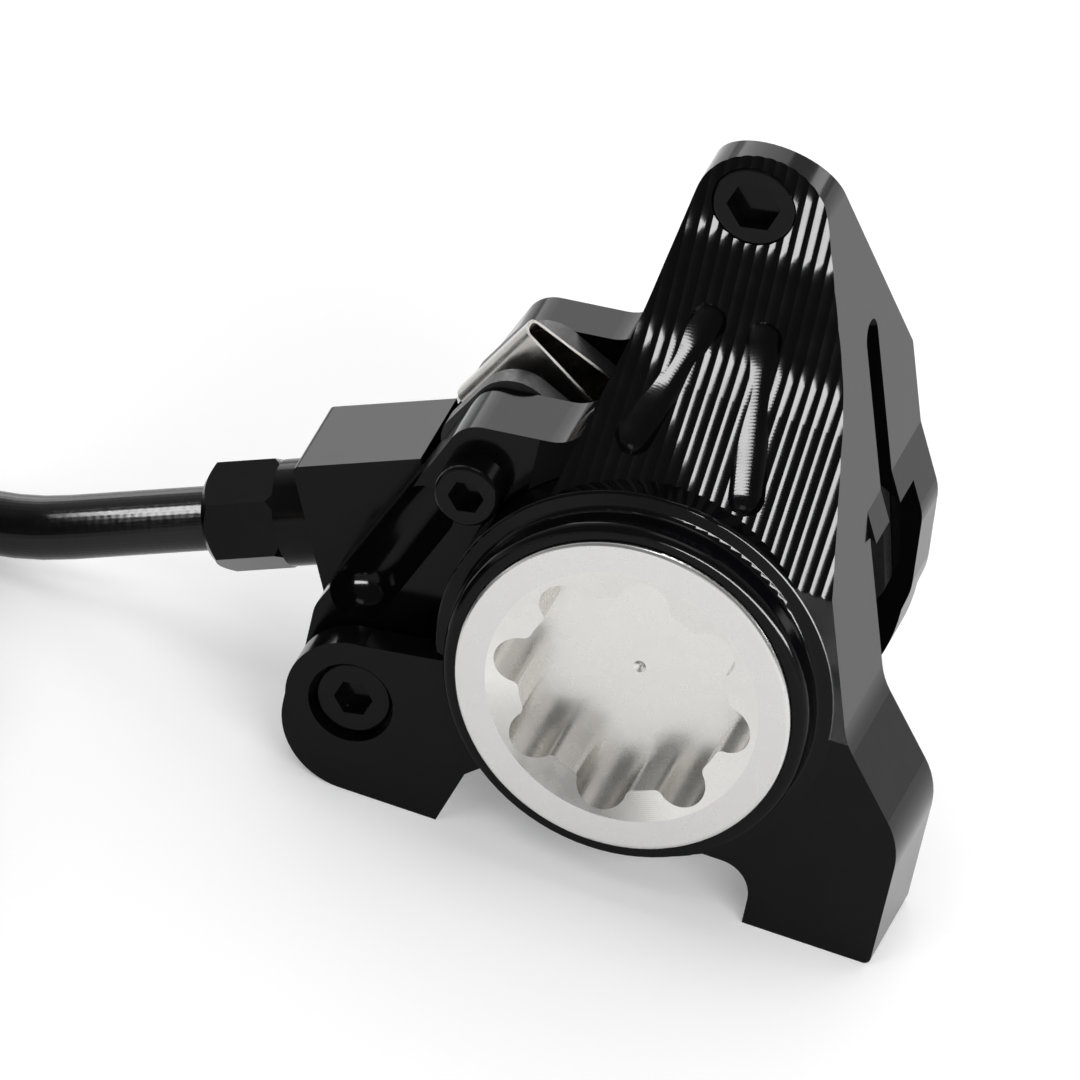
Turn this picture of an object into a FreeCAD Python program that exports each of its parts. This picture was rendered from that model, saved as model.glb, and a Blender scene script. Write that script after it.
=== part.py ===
import FreeCAD, Part
import math
import os
import re
import Sketcher
from FreeCAD import Placement, Rotation, Vector

# Rear flat-mount disc brake of a road bicycle, in millimetres and degrees.
# The origin is midway between the two mounting bolts, on the mounting face. +X runs along the mount
# towards the rear of the bicycle, +Y from the outboard side into the brake, and +Z away from the frame.

SIZES = {
    # Mounting feet
    "bolt_span": 34.0,
    "bolt_radius": 2.1,
    "bolt_depth": 8.0,
    "foot_depth": 10.3,
    "foot_inner": 4.5,
    "foot_outer": 5.9,
    "arch_height": 4.8,
    # Both halves and the space between them
    "bore_height": 18.4,
    "pad_pocket": 10.2,
    "pocket_half": 16.9,
    "inboard_web": 4.4,
    "rotor_slot": 3.0,
    "rotor_reach": 61.0,
    "rotor_angle": 28.0,
    "slot_radius": 71.8,
    "slot_round": 0.46,
    "lug_height": 43.4,
    "lug_round": 5.35,
    "slope_start": 20.8,
    "slope_inset": 0.5,
    # Cylinders
    "boss_radius": 14.6,
    "boss_rise": 3.1,
    "root_radius": 16.0,
    "inboard_radius": 15.6,
    "inboard_boss": 14.4,
    "inboard_rise": 7.0,
    "piston_radius": 11.0,
    "piston_length": 7.2,
    "piston_wall": 2.4,
    "piston_gap": 0.03,
    "chamber_gap": 0.8,
    "seal_width": 1.9,
    "seal_length": 2.2,
    "seal_back": 3.9,
    # Bore cap
    "cap_radius": 13.4,
    "cap_proud": 0.5,
    "cap_flange": 1.6,
    "neck_radius": 12.4,
    "ring_inner": 10.9,
    "dish_depth": 0.45,
    "socket_radius": 8.4,
    "socket_depth": 4.9,
    "lobe_radius": 2.0,
    "lobe_edge": 0.7,
    "centre_mark": 0.5,
    "groove_depth": 0.9,
    "groove_length": 1.3,
    "fit_gap": 0.05,
    # Pads
    "pad_clear": 1.2,
    "lining_thick": 1.8,
    "plate_thick": 1.9,
    "pad_slack": 0.3,
    "pad_outer": 10.3,
    "pad_inner": 11.5,
    "pad_cut": 4.8,
    "pad_flat": 9.0,
    "pad_round": 2.5,
    "lining_margin": 1.5,
    "tab_low": 4.6,
    "tab_high": 6.2,
    "tab_reach": 3.9,
    # Pad pin, its ears and its clip
    "pin_reach": 18.7,
    "pin_shift": 0.7,
    "pin_radius": 1.7,
    "pin_head": 2.6,
    "pin_head_rise": 2.4,
    "pin_socket": 1.25,
    "pin_tip": 2.6,
    "pin_hole": 2.1,
    "pin_ear_thick": 6.3,
    "scoop_radius": 2.6,
    "scoop_floor": 2.5,
    "clip_radius": 3.0,
    "clip_thick": 0.6,
    "clip_groove": 0.35,
    # Front ear with the transfer port
    "ear_left": 20.9,
    "ear_drop": 10.3,
    "ear_radius": 5.25,
    "ear_proud": 0.6,
    "ear_rim": 2.8,
    "ear_neck": 4.1,
    "plug_radius": 3.0,
    "plug_well": 3.4,
    "plug_sunk": 0.7,
    "plug_head": 1.4,
    "plug_thread": 1.5,
    "plug_length": 2.2,
    "plug_socket": 1.35,
    "port_radius": 0.8,
    # Bleed screw in the top lug
    "bleed_left": 0.66,
    "bleed_height": 38.8,
    "bleed_radius": 3.3,
    "bleed_head": 1.2,
    "bleed_thread": 2.4,
    "bleed_length": 2.2,
    "bleed_socket": 1.87,
    "ring_thick": 0.5,
    # Machined front face
    "rib_pitch": 0.95,
    "rib_depth": 0.13,
    "rib_start": 12.2,
    "face_slope": 30.0,
    "face_sunk": 7.6,
    "face_round": 12.0,
    "groove_radius": 1.6,
    "groove_sunk": 0.9,
    # Hose block, nut and hose
    "block_left": 28.75,
    "block_drop": 4.65,
    "block_height": 12.8,
    "block_depth": 9.7,
    "block_length": 10.6,
    "block_edge": 0.5,
    "hose_slope": 25.0,
    "hose_radius": 2.5,
    "hose_bore": 1.15,
    "hose_seat": 8.0,
    "nut_flats": 7.7,
    "nut_hex": 6.2,
    "nut_collar": 3.1,
    "nut_thread": 3.9,
    "nut_neck": 5.5,
    "olive_radius": 3.25,
    "olive_length": 2.4,
    "insert_radius": 1.05,
    "insert_bore": 0.6,
    "insert_length": 10.0,
    "insert_head": 0.8,
    "insert_flange": 2.3,
    # Put-away hose
    "coil_radius": 32.0,
    "coil_pitch": 6.6,
    "layer_height": 5.6,
    "coil_left": 84.5,
    "coil_height": 3.8,
    "coil_entry": 5.0,
    "coil_end": 26.0,
    "tie_thick": 0.9,
    "tie_width": 6.0,
    "tie_gap": 0.35,
    "tie_slack": 0.6,
    # Pad spring
    "spring_thick": 0.3,
    "spring_ridge": 23.1,
    "spring_ridge_half": 1.1,
    "spring_low": 1.26,
    "spring_high": 7.32,
    "spring_foot": 11.6,
    "spring_foot_half": 2.8,
}
LOBES = 8
COIL_LAYERS = 4
COIL_STEPS = 3
HEX_SIDES = 6
HALF_TURN = 180.0
SOCKET_START = 12.0
NUT_START = 45.0

# Corners of the outlines, as X and height above the cylinders' axis
LUG_FOOT = (-10.3, 9.0)
LUG_WAIST = (-7.05, 27.0)
LUG_LEFT = "(0.05 - 0.87 * lug_round)"
LUG_RIGHT = "(0.05 + 0.75 * lug_round)"
FLANK_FOOT = (17.15, 0.2)
EAR_INSIDE = (-12.0, 8.0)
EAR_ROOT = (-9.35, 15.35)
EAR_TIP = (-18.1, 14.15)
WALL_TOP = (-20.8, 7.2)
WALL_FOOT = -5.9

# The two grooves down the ribbed face and the scoop in the wall, each as its two ends in the same terms
GROOVES = [
    [(-2.0, 27.8), (-4.9, 18.6)],
    [(2.5, 27.8), (4.8, 17.1)],
]
SCOOP = [(-23.0, -3.6), (-19.4, 5.4)]

# Depths along Y, from the outboard side inwards
FOOT_FRONT = "(-foot_depth / 2)"
OUTER_WALL = "(foot_depth / 2)"
ROTOR_PLANE = "(foot_depth / 2 + pad_pocket / 2)"
INNER_WALL = "(foot_depth / 2 + pad_pocket)"
INNER_BACK = "(foot_depth / 2 + pad_pocket + inboard_web)"
BOSS_FACE = "(-foot_depth / 2 - boss_rise)"
CAP_FACE = "(-foot_depth / 2 - boss_rise - cap_proud)"
CAP_SEAT = "(-foot_depth / 2 - boss_rise - cap_proud + cap_flange)"
PAD_STACK = "(pad_clear + lining_thick + plate_thick)"
PLATE_FACE = f"({ROTOR_PLANE} - {PAD_STACK})"
PISTON_BACK = f"({PLATE_FACE} - piston_length)"
CAP_BACK = f"({PISTON_BACK} - chamber_gap)"
INNER_FLOOR = f"(2 * {ROTOR_PLANE} - {CAP_BACK})"
PIN_EAR_FRONT = f"({OUTER_WALL} - pin_ear_thick)"
EAR_FRONT = f"({FOOT_FRONT} - ear_proud)"
FACE_FLOOR = f"({FOOT_FRONT} + face_sunk)"
SEAL_FRONT = f"({OUTER_WALL} - seal_back - seal_length / 2)"
PLUG_SEAT = f"({EAR_FRONT} + plug_sunk + plug_head)"
BLEED_SEAT = f"({FACE_FLOOR} + bleed_head)"
SLOT_FRONT = f"({ROTOR_PLANE} - rotor_slot / 2)"
SLOT_BACK = f"({ROTOR_PLANE} + rotor_slot / 2)"
MIRROR = f"2 * {ROTOR_PLANE}"
BORE = ("0", "bore_height")
CALIPER = (0, 0, "bore_height")
GROOVE_RADIUS = "(piston_radius + seal_width)"
PAD_HALF = "(pocket_half - pad_slack)"
FIT = "fit_gap"

WORD = re.compile(r"[a-z_]+")
doc = FreeCAD.newDocument("disc_brake")
sheet = doc.addObject("Spreadsheet::Sheet", "sizes")
NODES = {}


def fill_sheet():
    for row, (name, size) in enumerate(SIZES.items(), start=1):
        sheet.set(f"A{row}", name)
        sheet.set(f"B{row}", str(size))
        sheet.setAlias(f"B{row}", name)
    doc.recompute()


def bound(text):
    """The expression with every size named in it read from the sheet."""
    return WORD.sub(lambda word: f"sizes.{word.group()}" if word.group() in SIZES else word.group(), str(text))


def value(text):
    """The expression's present value."""
    number = doc.sizes.evalExpression(bound(text))
    return float(getattr(number, "Value", number))


def new_body(name, place=(0, 0, 0), turn=None):
    body = doc.addObject("PartDesign::Body", name)
    body.Label = name
    body.Placement = Placement(Vector(), turn or Rotation())
    for axis, text in zip("xyz", place):
        body.setExpression(f"Placement.Base.{axis}", bound(text))
    return body


def new_sketch(body, role="XZ_Plane", offset="0", centre=("0", "0"), turn=0.0):
    """A sketch on one of the body's own planes, moved along the plane's normal and turned in the plane."""
    plane = next(f for f in body.Origin.OriginFeatures if f.Role == role)
    sketch = body.newObject("Sketcher::SketchObject", body.Name + "_sketch")
    sketch.AttachmentSupport = [(plane, "")]
    sketch.MapMode = "FlatFace"
    sketch.AttachmentOffset = Placement(Vector(), Rotation(Vector(0, 0, 1), turn))
    for axis, text in zip("xyz", (*centre, offset)):
        sketch.setExpression(f"AttachmentOffset.Base.{axis}", bound(text))
    return sketch


def pin_point(sketch, edge, end, x, y):
    """Fixes one end of an edge at a bound place in the sketch."""
    for kind, text in (("DistanceX", x), ("DistanceY", y)):
        row = sketch.addConstraint(Sketcher.Constraint(kind, -1, 1, edge, end, value(text)))
        sketch.setExpression(f"Constraints[{row}]", bound(text))


def add_outline(sketch, corners):
    """A closed outline through corners (x, y) or (x, y, rounding), all bound to the sheet."""
    first = sketch.GeometryCount
    count = len(corners)
    points = [Vector(value(x), value(y), 0) for x, y, *_ in corners]
    for i in range(count):
        sketch.addGeometry(Part.LineSegment(points[i], points[(i + 1) % count]))
    for i in range(count):
        sketch.addConstraint(Sketcher.Constraint("Coincident", first + i, 2, first + (i + 1) % count, 1))
    for i, (x, y, *_) in enumerate(corners):
        pin_point(sketch, first + i, 1, x, y)
    for i, (_, _, *rounding) in enumerate(corners):
        if rounding:
            before = sketch.GeometryCount
            sketch.fillet(first + i, 1, value(rounding[0]), True, True)
            new = range(before, sketch.GeometryCount)
            arc = next(k for k in new if isinstance(sketch.Geometry[k], Part.ArcOfCircle))
            row = sketch.addConstraint(Sketcher.Constraint("Radius", arc, value(rounding[0])))
            sketch.setExpression(f"Constraints[{row}]", bound(rounding[0]))


def add_circle(sketch, x, y, radius):
    circle = sketch.addGeometry(Part.Circle(Vector(value(x), value(y), 0), Vector(0, 0, 1), value(radius)))
    pin_point(sketch, circle, 3, x, y)
    row = sketch.addConstraint(Sketcher.Constraint("Radius", circle, value(radius)))
    sketch.setExpression(f"Constraints[{row}]", bound(radius))


def slab(body, kind, front, back, outlines=(), circles=(), centre=("0", "0"), turn=0.0):
    """A Pad or Pocket of a sketch that faces the outboard side, from depth front to depth back."""
    sketch = new_sketch(body, "XZ_Plane", f"-({front})", centre, turn)
    for corners in outlines:
        add_outline(sketch, corners)
    for circle in circles:
        add_circle(sketch, *circle)
    feature = body.newObject(f"PartDesign::{kind}", f"{body.Name}_{kind.lower()}")
    feature.Profile = sketch
    feature.Reversed = kind == "Pad"
    feature.setExpression("Length", bound(f"({back}) - ({front})"))
    return feature


def turned(name, profile, place=(0, 0, 0), turn=None):
    """A body of revolution about its own Y axis, from corners (radius, along) or (radius, along, rounding)."""
    body = new_body(name, place, turn)
    sketch = new_sketch(body, "XY_Plane")
    add_outline(sketch, profile)
    lathe = body.newObject("PartDesign::Revolution", name + "_turned")
    lathe.Profile = sketch
    lathe.ReferenceAxis = (sketch, ["V_Axis"])
    lathe.Angle = 360.0
    return body


def polygon_corners(sides, radius, start=0.0):
    """Corners of a regular polygon whose flats lie at the given radius from its centre."""
    step = 360.0 / sides
    reach = f"({radius}) / cos({step / 2})"
    return [(f"{reach} * cos({start + i * step})", f"{reach} * sin({start + i * step})") for i in range(sides)]


def cut(name, base, tools):
    """The base less every tool, as one boolean."""
    cutter = tools[0]
    if len(tools) > 1:
        cutter = doc.addObject("Part::MultiFuse", name + "_tools")
        cutter.Shapes = tools
    result = doc.addObject("Part::Cut", name)
    result.Base = base
    result.Tool = cutter
    return result


def keep(name, item):
    item.Label = name
    NODES[name] = item
    return item


def rel(z):
    """A height measured from the cylinder's axis, as a height above the mounting face."""
    return f"(bore_height + ({z}))"


def pad_turn():
    """Turns local X towards the rotor's centre, and local Z along the pads."""
    return Rotation(Vector(0, 1, 0), value("rotor_angle"))


def hose_turn():
    """Turns local Y along the hose, out of the block."""
    slope = math.radians(value("hose_slope"))
    return Rotation(Vector(0, 1, 0), Vector(-math.cos(slope), 0, -math.sin(slope)))


PAD_AXES = -SIZES["rotor_angle"]
HOSE_AXES = HALF_TURN + SIZES["hose_slope"]


def at(place, *rounding):
    """An outline's corner at X and a height above the cylinders' axis."""
    x, z = place
    return (str(x), rel(z), *rounding)


def lug_corners():
    """The round top of the lug, from its left flank to its right one. Its two arcs all but meet."""
    top = rel("lug_height")
    return [(LUG_LEFT, top, "lug_round"), (LUG_RIGHT, top, "lug_round")]


def rear_flank(z):
    """The point of the straight rear flank at a height above the cylinders' axis."""
    foot_x, foot_z = FLANK_FOOT
    return (f"{LUG_RIGHT} + ({foot_x} - {LUG_RIGHT}) * (lug_height - {z}) / (lug_height - {foot_z})", rel(z))


def outboard_web():
    """The outboard plate: the right foot, the straight rear flank, and the lug up to its round top."""
    inner = "bolt_span / 2 - foot_inner"
    outer = "bolt_span / 2 + foot_outer"
    body = new_body("outboard_web")
    slab(body, "Pad", FOOT_FRONT, OUTER_WALL, [[
        (inner, "0"),
        (inner, "arch_height", "2.6"),
        ("4", "arch_height"),
        ("-10", rel(-6)),
        at(LUG_FOOT),
        at(LUG_WAIST, "60"),
        *lug_corners(),
        at(FLANK_FOOT, "6"),
        (f"{outer} + 0.2", rel(-7.2), "6"),
        (outer, "0", "0.6"),
    ]])
    return body


def ribbed_face_tool():
    """Everything in front of the lug's machined face: a sloping stretch that curves upright, left in fine
    ridges by the passes of a round-nosed cutter."""
    left, right, thick = -13.0, 19.0, 14.0
    pitch, depth = value("rib_pitch"), value("rib_depth")
    slope = math.radians(value("face_slope"))
    low = Vector(0, value(FOOT_FRONT), value(rel("rib_start")))
    up = Vector(0, math.sin(slope), math.cos(slope))
    out = Vector(0, -math.cos(slope), math.sin(slope))
    floor = value(FACE_FLOOR)
    bend = low + up * ((floor - low.y) / up.y)
    tangent = value("face_round") * math.tan(slope / 2)
    start = low - up * thick
    bend_in = bend - up * tangent
    bend_out = bend + Vector(0, 0, tangent)
    centre = bend_in + out * value("face_round")
    half = slope / 2
    bend_middle = centre + Vector(0, math.cos(half), -math.sin(half)) * value("face_round")
    top = bend_out + Vector(0, 0, value("lug_height"))
    spine = Part.Wire([
        Part.makeLine(start, bend_in),
        Part.Arc(bend_in, bend_middle, bend_out).toShape(),
        Part.makeLine(bend_out, top),
    ])
    edges = []
    ribs = math.ceil((right - left) / pitch)
    for i in range(ribs):
        first = start + Vector(left + i * pitch, 0, 0)
        last = first + Vector(pitch, 0, 0)
        edges.append(Part.Arc(first, (first + last) / 2 - out * depth, last).toShape())
    near = start + Vector(left, 0, 0)
    far = start + Vector(left + ribs * pitch, 0, 0)
    edges.append(Part.makeLine(far, far + out * thick))
    edges.append(Part.makeLine(far + out * thick, near + out * thick))
    edges.append(Part.makeLine(near + out * thick, near))
    tool = doc.addObject("Part::Feature", "ribbed_face_tool")
    tool.Shape = spine.makePipeShell([Part.Wire(edges)], True, False)
    return tool


def add_left_side(body):
    """The left foot, the front ear with its groove, and the straight wall from it up to the pad pin's ear."""
    ear = ("-ear_left", rel("-ear_drop"))
    foot_edge = "-(bolt_span / 2 - foot_inner)"
    left = "-(ear_left + ear_radius)"
    slab(body, "Pad", PIN_EAR_FRONT, OUTER_WALL, [[
        (foot_edge, "0"),
        (f"{foot_edge} + 1.4", "arch_height"),
        ("-4", rel(-8)),
        ("-4", rel(6)),
        at(EAR_INSIDE),
        at(WALL_TOP),
        (left, rel(WALL_FOOT), "3"),
        (left, "0", "5.8"),
    ]])
    for front, back in ((PIN_EAR_FRONT, OUTER_WALL), (INNER_WALL, INNER_BACK)):
        slab(body, "Pad", front, back, [[
            at(EAR_INSIDE),
            at(WALL_TOP),
            at(EAR_TIP, "2.8"),
            at(EAR_ROOT, "3.2"),
            ("-8.1", rel(18.6)),
            ("-7", rel(18.6)),
            ("-7", rel(8)),
        ]])
    slab(body, "Pad", FOOT_FRONT, OUTER_WALL, [[
        (foot_edge, "0"),
        (f"{foot_edge} + 1.4", "arch_height"),
        ("-6", rel(-9)),
        ("-13", rel(-9)),
        (left, rel("-ear_drop")),
        (left, "0", "5.8"),
    ]])
    slab(body, "Pad", EAR_FRONT, f"{EAR_FRONT} + ear_rim", [[
        ("-ear_left", rel("-ear_drop + ear_radius")),
        ("-10", rel(-3.2)),
        ("-8", rel(-11)),
        ("-ear_left", rel("-ear_drop - ear_radius")),
    ]])
    slab(body, "Pad", EAR_FRONT, f"{EAR_FRONT} + ear_rim", circles=[(*ear, "ear_radius")])
    slab(body, "Pad", EAR_FRONT, OUTER_WALL, [[
        ("-ear_left", rel("-ear_drop + ear_neck")),
        ("-10", rel(-4.4)),
        ("-8", rel(-11)),
        ("-ear_left", rel("-ear_drop - ear_neck")),
    ]])
    slab(body, "Pad", EAR_FRONT, OUTER_WALL, circles=[(*ear, "ear_neck")])


def add_boss(body, name, profile):
    """A round boss about the cylinder's axis."""
    sketch = new_sketch(body, "YZ_Plane", centre=("0", "bore_height"))
    add_outline(sketch, profile)
    boss = body.newObject("PartDesign::Revolution", name)
    boss.Profile = sketch
    boss.ReferenceAxis = (sketch, ["H_Axis"])
    boss.Angle = 360.0


def caliper_blank():
    """The block without its machined front face: both halves and what joins them, before drilling."""
    body = new_body("caliper_blank")
    left = "-(ear_left + ear_radius)"
    slab(body, "Pad", OUTER_WALL, INNER_BACK, [[
        at(LUG_FOOT),
        at(LUG_WAIST, "60"),
        *lug_corners(),
        rear_flank(14.1),
        ("15.5", rel(8.9), "4"),
        ("16", rel(2), "6"),
        ("14.6", rel(-5)),
        ("0", rel(-14)),
        ("-12", rel(-13.8)),
        ("-ear_left", rel("-ear_drop - ear_radius")),
        (left, rel("-ear_drop"), "4"),
        (left, rel(WALL_FOOT), "3"),
        at(WALL_TOP),
        at(EAR_INSIDE),
    ]])
    slab(body, "Pad", OUTER_WALL, INNER_BACK, circles=[(*BORE, "inboard_radius")])
    slab(body, "Pocket", OUTER_WALL, INNER_WALL, [[
        ("-45", "-pocket_half"),
        ("45", "-pocket_half"),
        ("45", "pocket_half"),
        ("-45", "pocket_half"),
    ]], centre=BORE, turn=PAD_AXES)
    add_left_side(body)
    block_centre = ("-block_left", rel("-block_drop"))
    slab(body, "Pad", f"{ROTOR_PLANE} - block_depth / 2", f"{ROTOR_PLANE} + block_depth / 2", [[
        ("0", "-block_height / 2", "block_edge"),
        ("0", "block_height / 2", "block_edge"),
        ("-block_length", "block_height / 2"),
        ("-block_length", "-block_height / 2"),
    ]], centre=block_centre, turn=HOSE_AXES)
    slab(body, "Pad", OUTER_WALL, INNER_BACK, circles=[("-ear_left", rel("-ear_drop"), "ear_radius")])
    slab(body, "Pocket", OUTER_WALL, INNER_WALL, [[
        ("-(pad_outer + 0.7)", "-pocket_half"),
        ("45", "-pocket_half"),
        ("45", "pocket_half"),
        ("-(pad_outer + 0.7)", "pocket_half"),
    ]], centre=BORE, turn=PAD_AXES)
    for depth, radius, root, rise, sign in (
        (FOOT_FRONT, "boss_radius", "root_radius", "boss_rise", "-"),
        (INNER_BACK, "inboard_boss", "inboard_radius", "inboard_rise", "+"),
    ):
        inside = f"{depth} - ({sign}3)"
        add_boss(body, "boss_" + ("outboard" if sign == "-" else "inboard"), [
            (inside, "0"),
            (inside, root),
            (depth, root, "0.3"),
            (f"{depth} {sign} 0.4", radius, "0.5"),
            (f"{depth} {sign} {rise}", radius, "0.8"),
            (f"{depth} {sign} {rise}", "0"),
        ])
    return body


def back_slope_tool():
    """Everything behind the lug's sloping inboard face."""
    body = new_body("back_slope_tool")
    sketch = new_sketch(body, "YZ_Plane")
    low = rel("slope_start")
    lug_back = f"({OUTER_WALL} - slope_inset)"
    beyond = f"({INNER_BACK} + inboard_rise)"
    above = rel("lug_height + inboard_rise")
    add_outline(sketch, [
        (INNER_BACK, low),
        (lug_back, rel("lug_height")),
        (lug_back, above),
        (beyond, above),
        (beyond, low),
    ])
    pad = body.newObject("PartDesign::Pad", "back_slope_pad")
    pad.Profile = sketch
    pad.Midplane = True
    pad.setExpression("Length", bound("2 * bolt_span"))
    return body


def bore(name, radius, front, back, place=("0", "0", "bore_height")):
    return turned(name, [("0", front), (radius, front), (radius, back), ("0", back)], place)


def ball_cut(radius, start, end):
    """A straight cut of a ball-nosed tool, as the cylinder and the two balls that it sweeps."""
    run = end - start
    rod = doc.addObject("Part::Cylinder", "cut_run")
    rod.setExpression("Radius", bound(radius))
    rod.Height = run.Length
    rod.Placement = Placement(start, Rotation(Vector(0, 0, 1), run))
    balls = []
    for place in (start, end):
        ball = doc.addObject("Part::Sphere", "cut_end")
        ball.setExpression("Radius", bound(radius))
        ball.Placement = Placement(place, Rotation())
        balls.append(ball)
    return [rod, *balls]


def machined_grooves():
    """The two longer cuts down the ribbed face. They follow its slope up to where it turns upright."""
    upright = value("rib_start + face_sunk / tan(face_slope)")
    rise = value("tan(face_slope)")
    tools = []
    for groove in GROOVES:
        ends = []
        for x, z in groove:
            face = value(FOOT_FRONT) + (min(z, upright) - value("rib_start")) * rise
            ends.append(Vector(x, face - value("groove_radius - groove_sunk"), value(rel(z))))
        tools += ball_cut("groove_radius", *ends)
    return tools


def wall_scoop():
    """The long hollow that lightens the wall between the front ear and the pad pin's ear."""
    level = value(f"{OUTER_WALL} - scoop_floor - scoop_radius")
    return ball_cut("scoop_radius", *(Vector(x, level, value(rel(z))) for x, z in SCOOP))


def rotor_slot_tool():
    """The disc cutter's path between the halves, round at its rim."""
    rounding = "(slot_round * rotor_slot)"
    return turned("rotor_slot_tool", [
        ("0", SLOT_FRONT),
        ("slot_radius", SLOT_FRONT, rounding),
        ("slot_radius", SLOT_BACK, rounding),
        ("0", SLOT_BACK),
    ], ("rotor_reach * cos(rotor_angle)", "0", rel("-rotor_reach * sin(rotor_angle)")))


def pin_place():
    """The pad pin's axis, beyond the pads' outer edge."""
    x = "(-pin_reach * cos(rotor_angle) + pin_shift * sin(rotor_angle))"
    z = rel("pin_reach * sin(rotor_angle) + pin_shift * cos(rotor_angle)")
    return (x, "0", z)


def hose_port_tool():
    """The stepped hole for the nut's thread, the olive's seat and the insert's head."""
    seat = "(hose_seat + insert_head)"
    return turned("hose_port", [
        ("0", "1"),
        (f"nut_thread + {FIT}", "1"),
        (f"nut_thread + {FIT}", "-(hose_seat - olive_length)"),
        (f"olive_radius + {FIT}", "-(hose_seat - olive_length)"),
        (f"olive_radius + {FIT}", "-hose_seat"),
        (f"hose_radius + {FIT}", f"-{seat}"),
        ("port_radius", f"-{seat}"),
        ("port_radius", f"-({seat} + 0.6)"),
        ("0", f"-({seat} + 0.6)"),
    ], ("-block_left", ROTOR_PLANE, rel("-block_drop")), hose_turn())


def caliper_body():
    ribbed = cut("ribbed_web", outboard_web(), [ribbed_face_tool()])
    block = doc.addObject("Part::MultiFuse", "block")
    block.Shapes = [ribbed, caliper_blank()]
    upright = Rotation(Vector(1, 0, 0), 90)
    tools = [
        turned("outboard_bore", [
            ("0", f"{BOSS_FACE} - 1"),
            ("cap_radius + fit_gap", f"{BOSS_FACE} - 1"),
            ("cap_radius + fit_gap", CAP_SEAT),
            ("neck_radius + fit_gap", CAP_SEAT),
            ("neck_radius + fit_gap", CAP_BACK),
            ("piston_radius + piston_gap", CAP_BACK),
            ("piston_radius + piston_gap", f"{OUTER_WALL} + 1"),
            ("0", f"{OUTER_WALL} + 1"),
        ], CALIPER),
        bore("inboard_bore", "piston_radius + piston_gap", f"{INNER_WALL} - 1", INNER_FLOOR),
        bore("outboard_seal_groove", GROOVE_RADIUS, SEAL_FRONT, f"{SEAL_FRONT} + seal_length"),
        bore("inboard_seal_groove", GROOVE_RADIUS, f"{MIRROR} - ({SEAL_FRONT}) - seal_length",
             f"{MIRROR} - ({SEAL_FRONT})"),
        bore("pin_bore", f"pin_radius + {FIT}", "-20", f"{INNER_BACK} + 1", pin_place()),
        turned("transfer_port", [
            ("0", f"{EAR_FRONT} - 1"),
            ("plug_well", f"{EAR_FRONT} - 1"),
            ("plug_well", PLUG_SEAT),
            (f"plug_thread + {FIT}", PLUG_SEAT),
            (f"plug_thread + {FIT}", f"{PLUG_SEAT} + plug_length"),
            ("port_radius", f"{PLUG_SEAT} + plug_length + 1"),
            ("port_radius", f"{INNER_WALL} + inboard_web / 2"),
            ("0", f"{INNER_WALL} + inboard_web / 2"),
        ], ("-ear_left", "0", rel("-ear_drop"))),
        turned("bleed_port", [
            ("0", f"{FACE_FLOOR} - 4"),
            (f"bleed_radius + {FIT}", f"{FACE_FLOOR} - 4"),
            (f"bleed_radius + {FIT}", BLEED_SEAT),
            (f"bleed_thread + {FIT}", BLEED_SEAT),
            (f"bleed_thread + {FIT}", f"{BLEED_SEAT} + bleed_length"),
            ("0", f"{BLEED_SEAT} + bleed_length"),
        ], ("-bleed_left", "0", rel("bleed_height"))),
        hose_port_tool(),
        back_slope_tool(),
        rotor_slot_tool(),
        *machined_grooves(),
        *wall_scoop(),
    ]
    for side in ("-", ""):
        tools.append(turned("bolt_hole", [
            ("0", "-1"),
            ("bolt_radius", "-1"),
            ("bolt_radius", "bolt_depth"),
            ("0", "bolt_depth + bolt_radius / 2"),
        ], (f"{side}bolt_span / 2", "0", "0"), upright))
    keep("caliper_body", cut("caliper_body", block, tools))


def socket(body, sides_radius, front, depth):
    """A hexagon socket sunk into a screw's head."""
    corners = polygon_corners(HEX_SIDES, sides_radius, SOCKET_START)
    slab(body, "Pocket", f"{front} - 0.5", f"{front} + {depth}", [corners])


def bore_cap():
    """The threaded cap: a flat ring round a shallow dish, with an eight-lobed socket and a centre mark."""
    floor = f"({CAP_FACE} + socket_depth)"
    seal_end = f"({CAP_SEAT} + groove_length)"
    body = turned("bore_cap", [
        ("0", f"{floor} + centre_mark / 2"),
        ("centre_mark", floor),
        ("socket_radius", floor),
        ("socket_radius", f"{CAP_FACE} + dish_depth"),
        ("ring_inner", CAP_FACE),
        ("cap_radius", CAP_FACE, "0.35"),
        ("cap_radius", CAP_SEAT),
        ("neck_radius - groove_depth", CAP_SEAT),
        ("neck_radius - groove_depth", seal_end),
        ("neck_radius", seal_end),
        ("neck_radius", f"{CAP_BACK} - fit_gap", "0.4"),
        ("0", f"{CAP_BACK} - fit_gap"),
    ], CALIPER)
    lobe = slab(body, "Pocket", f"{CAP_FACE} - 1", floor, circles=[("socket_radius", "0", "lobe_radius")])
    lobes = body.newObject("PartDesign::PolarPattern", "cap_lobes")
    lobes.Originals = [lobe]
    lobes.Axis = (lobe.Profile[0], ["N_Axis"])
    lobes.Angle = 360.0
    lobes.Occurrences = LOBES
    body.Tip = lobes
    doc.recompute()
    corners = [f"Edge{i + 1}" for i, edge in enumerate(lobes.Shape.Edges) if is_tooth_corner(edge)]
    rounded = body.newObject("PartDesign::Fillet", "cap_teeth")
    rounded.Base = (lobes, corners)
    rounded.setExpression("Radius", bound("lobe_edge"))
    keep("bore_cap", body)


def is_tooth_corner(edge):
    """Whether an edge runs down the cap's socket between a lobe and a tooth."""
    box = edge.BoundBox
    straight = box.XLength < 0.01 and box.ZLength < 0.01
    return straight and box.YLength > value("socket_depth") / 2


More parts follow.
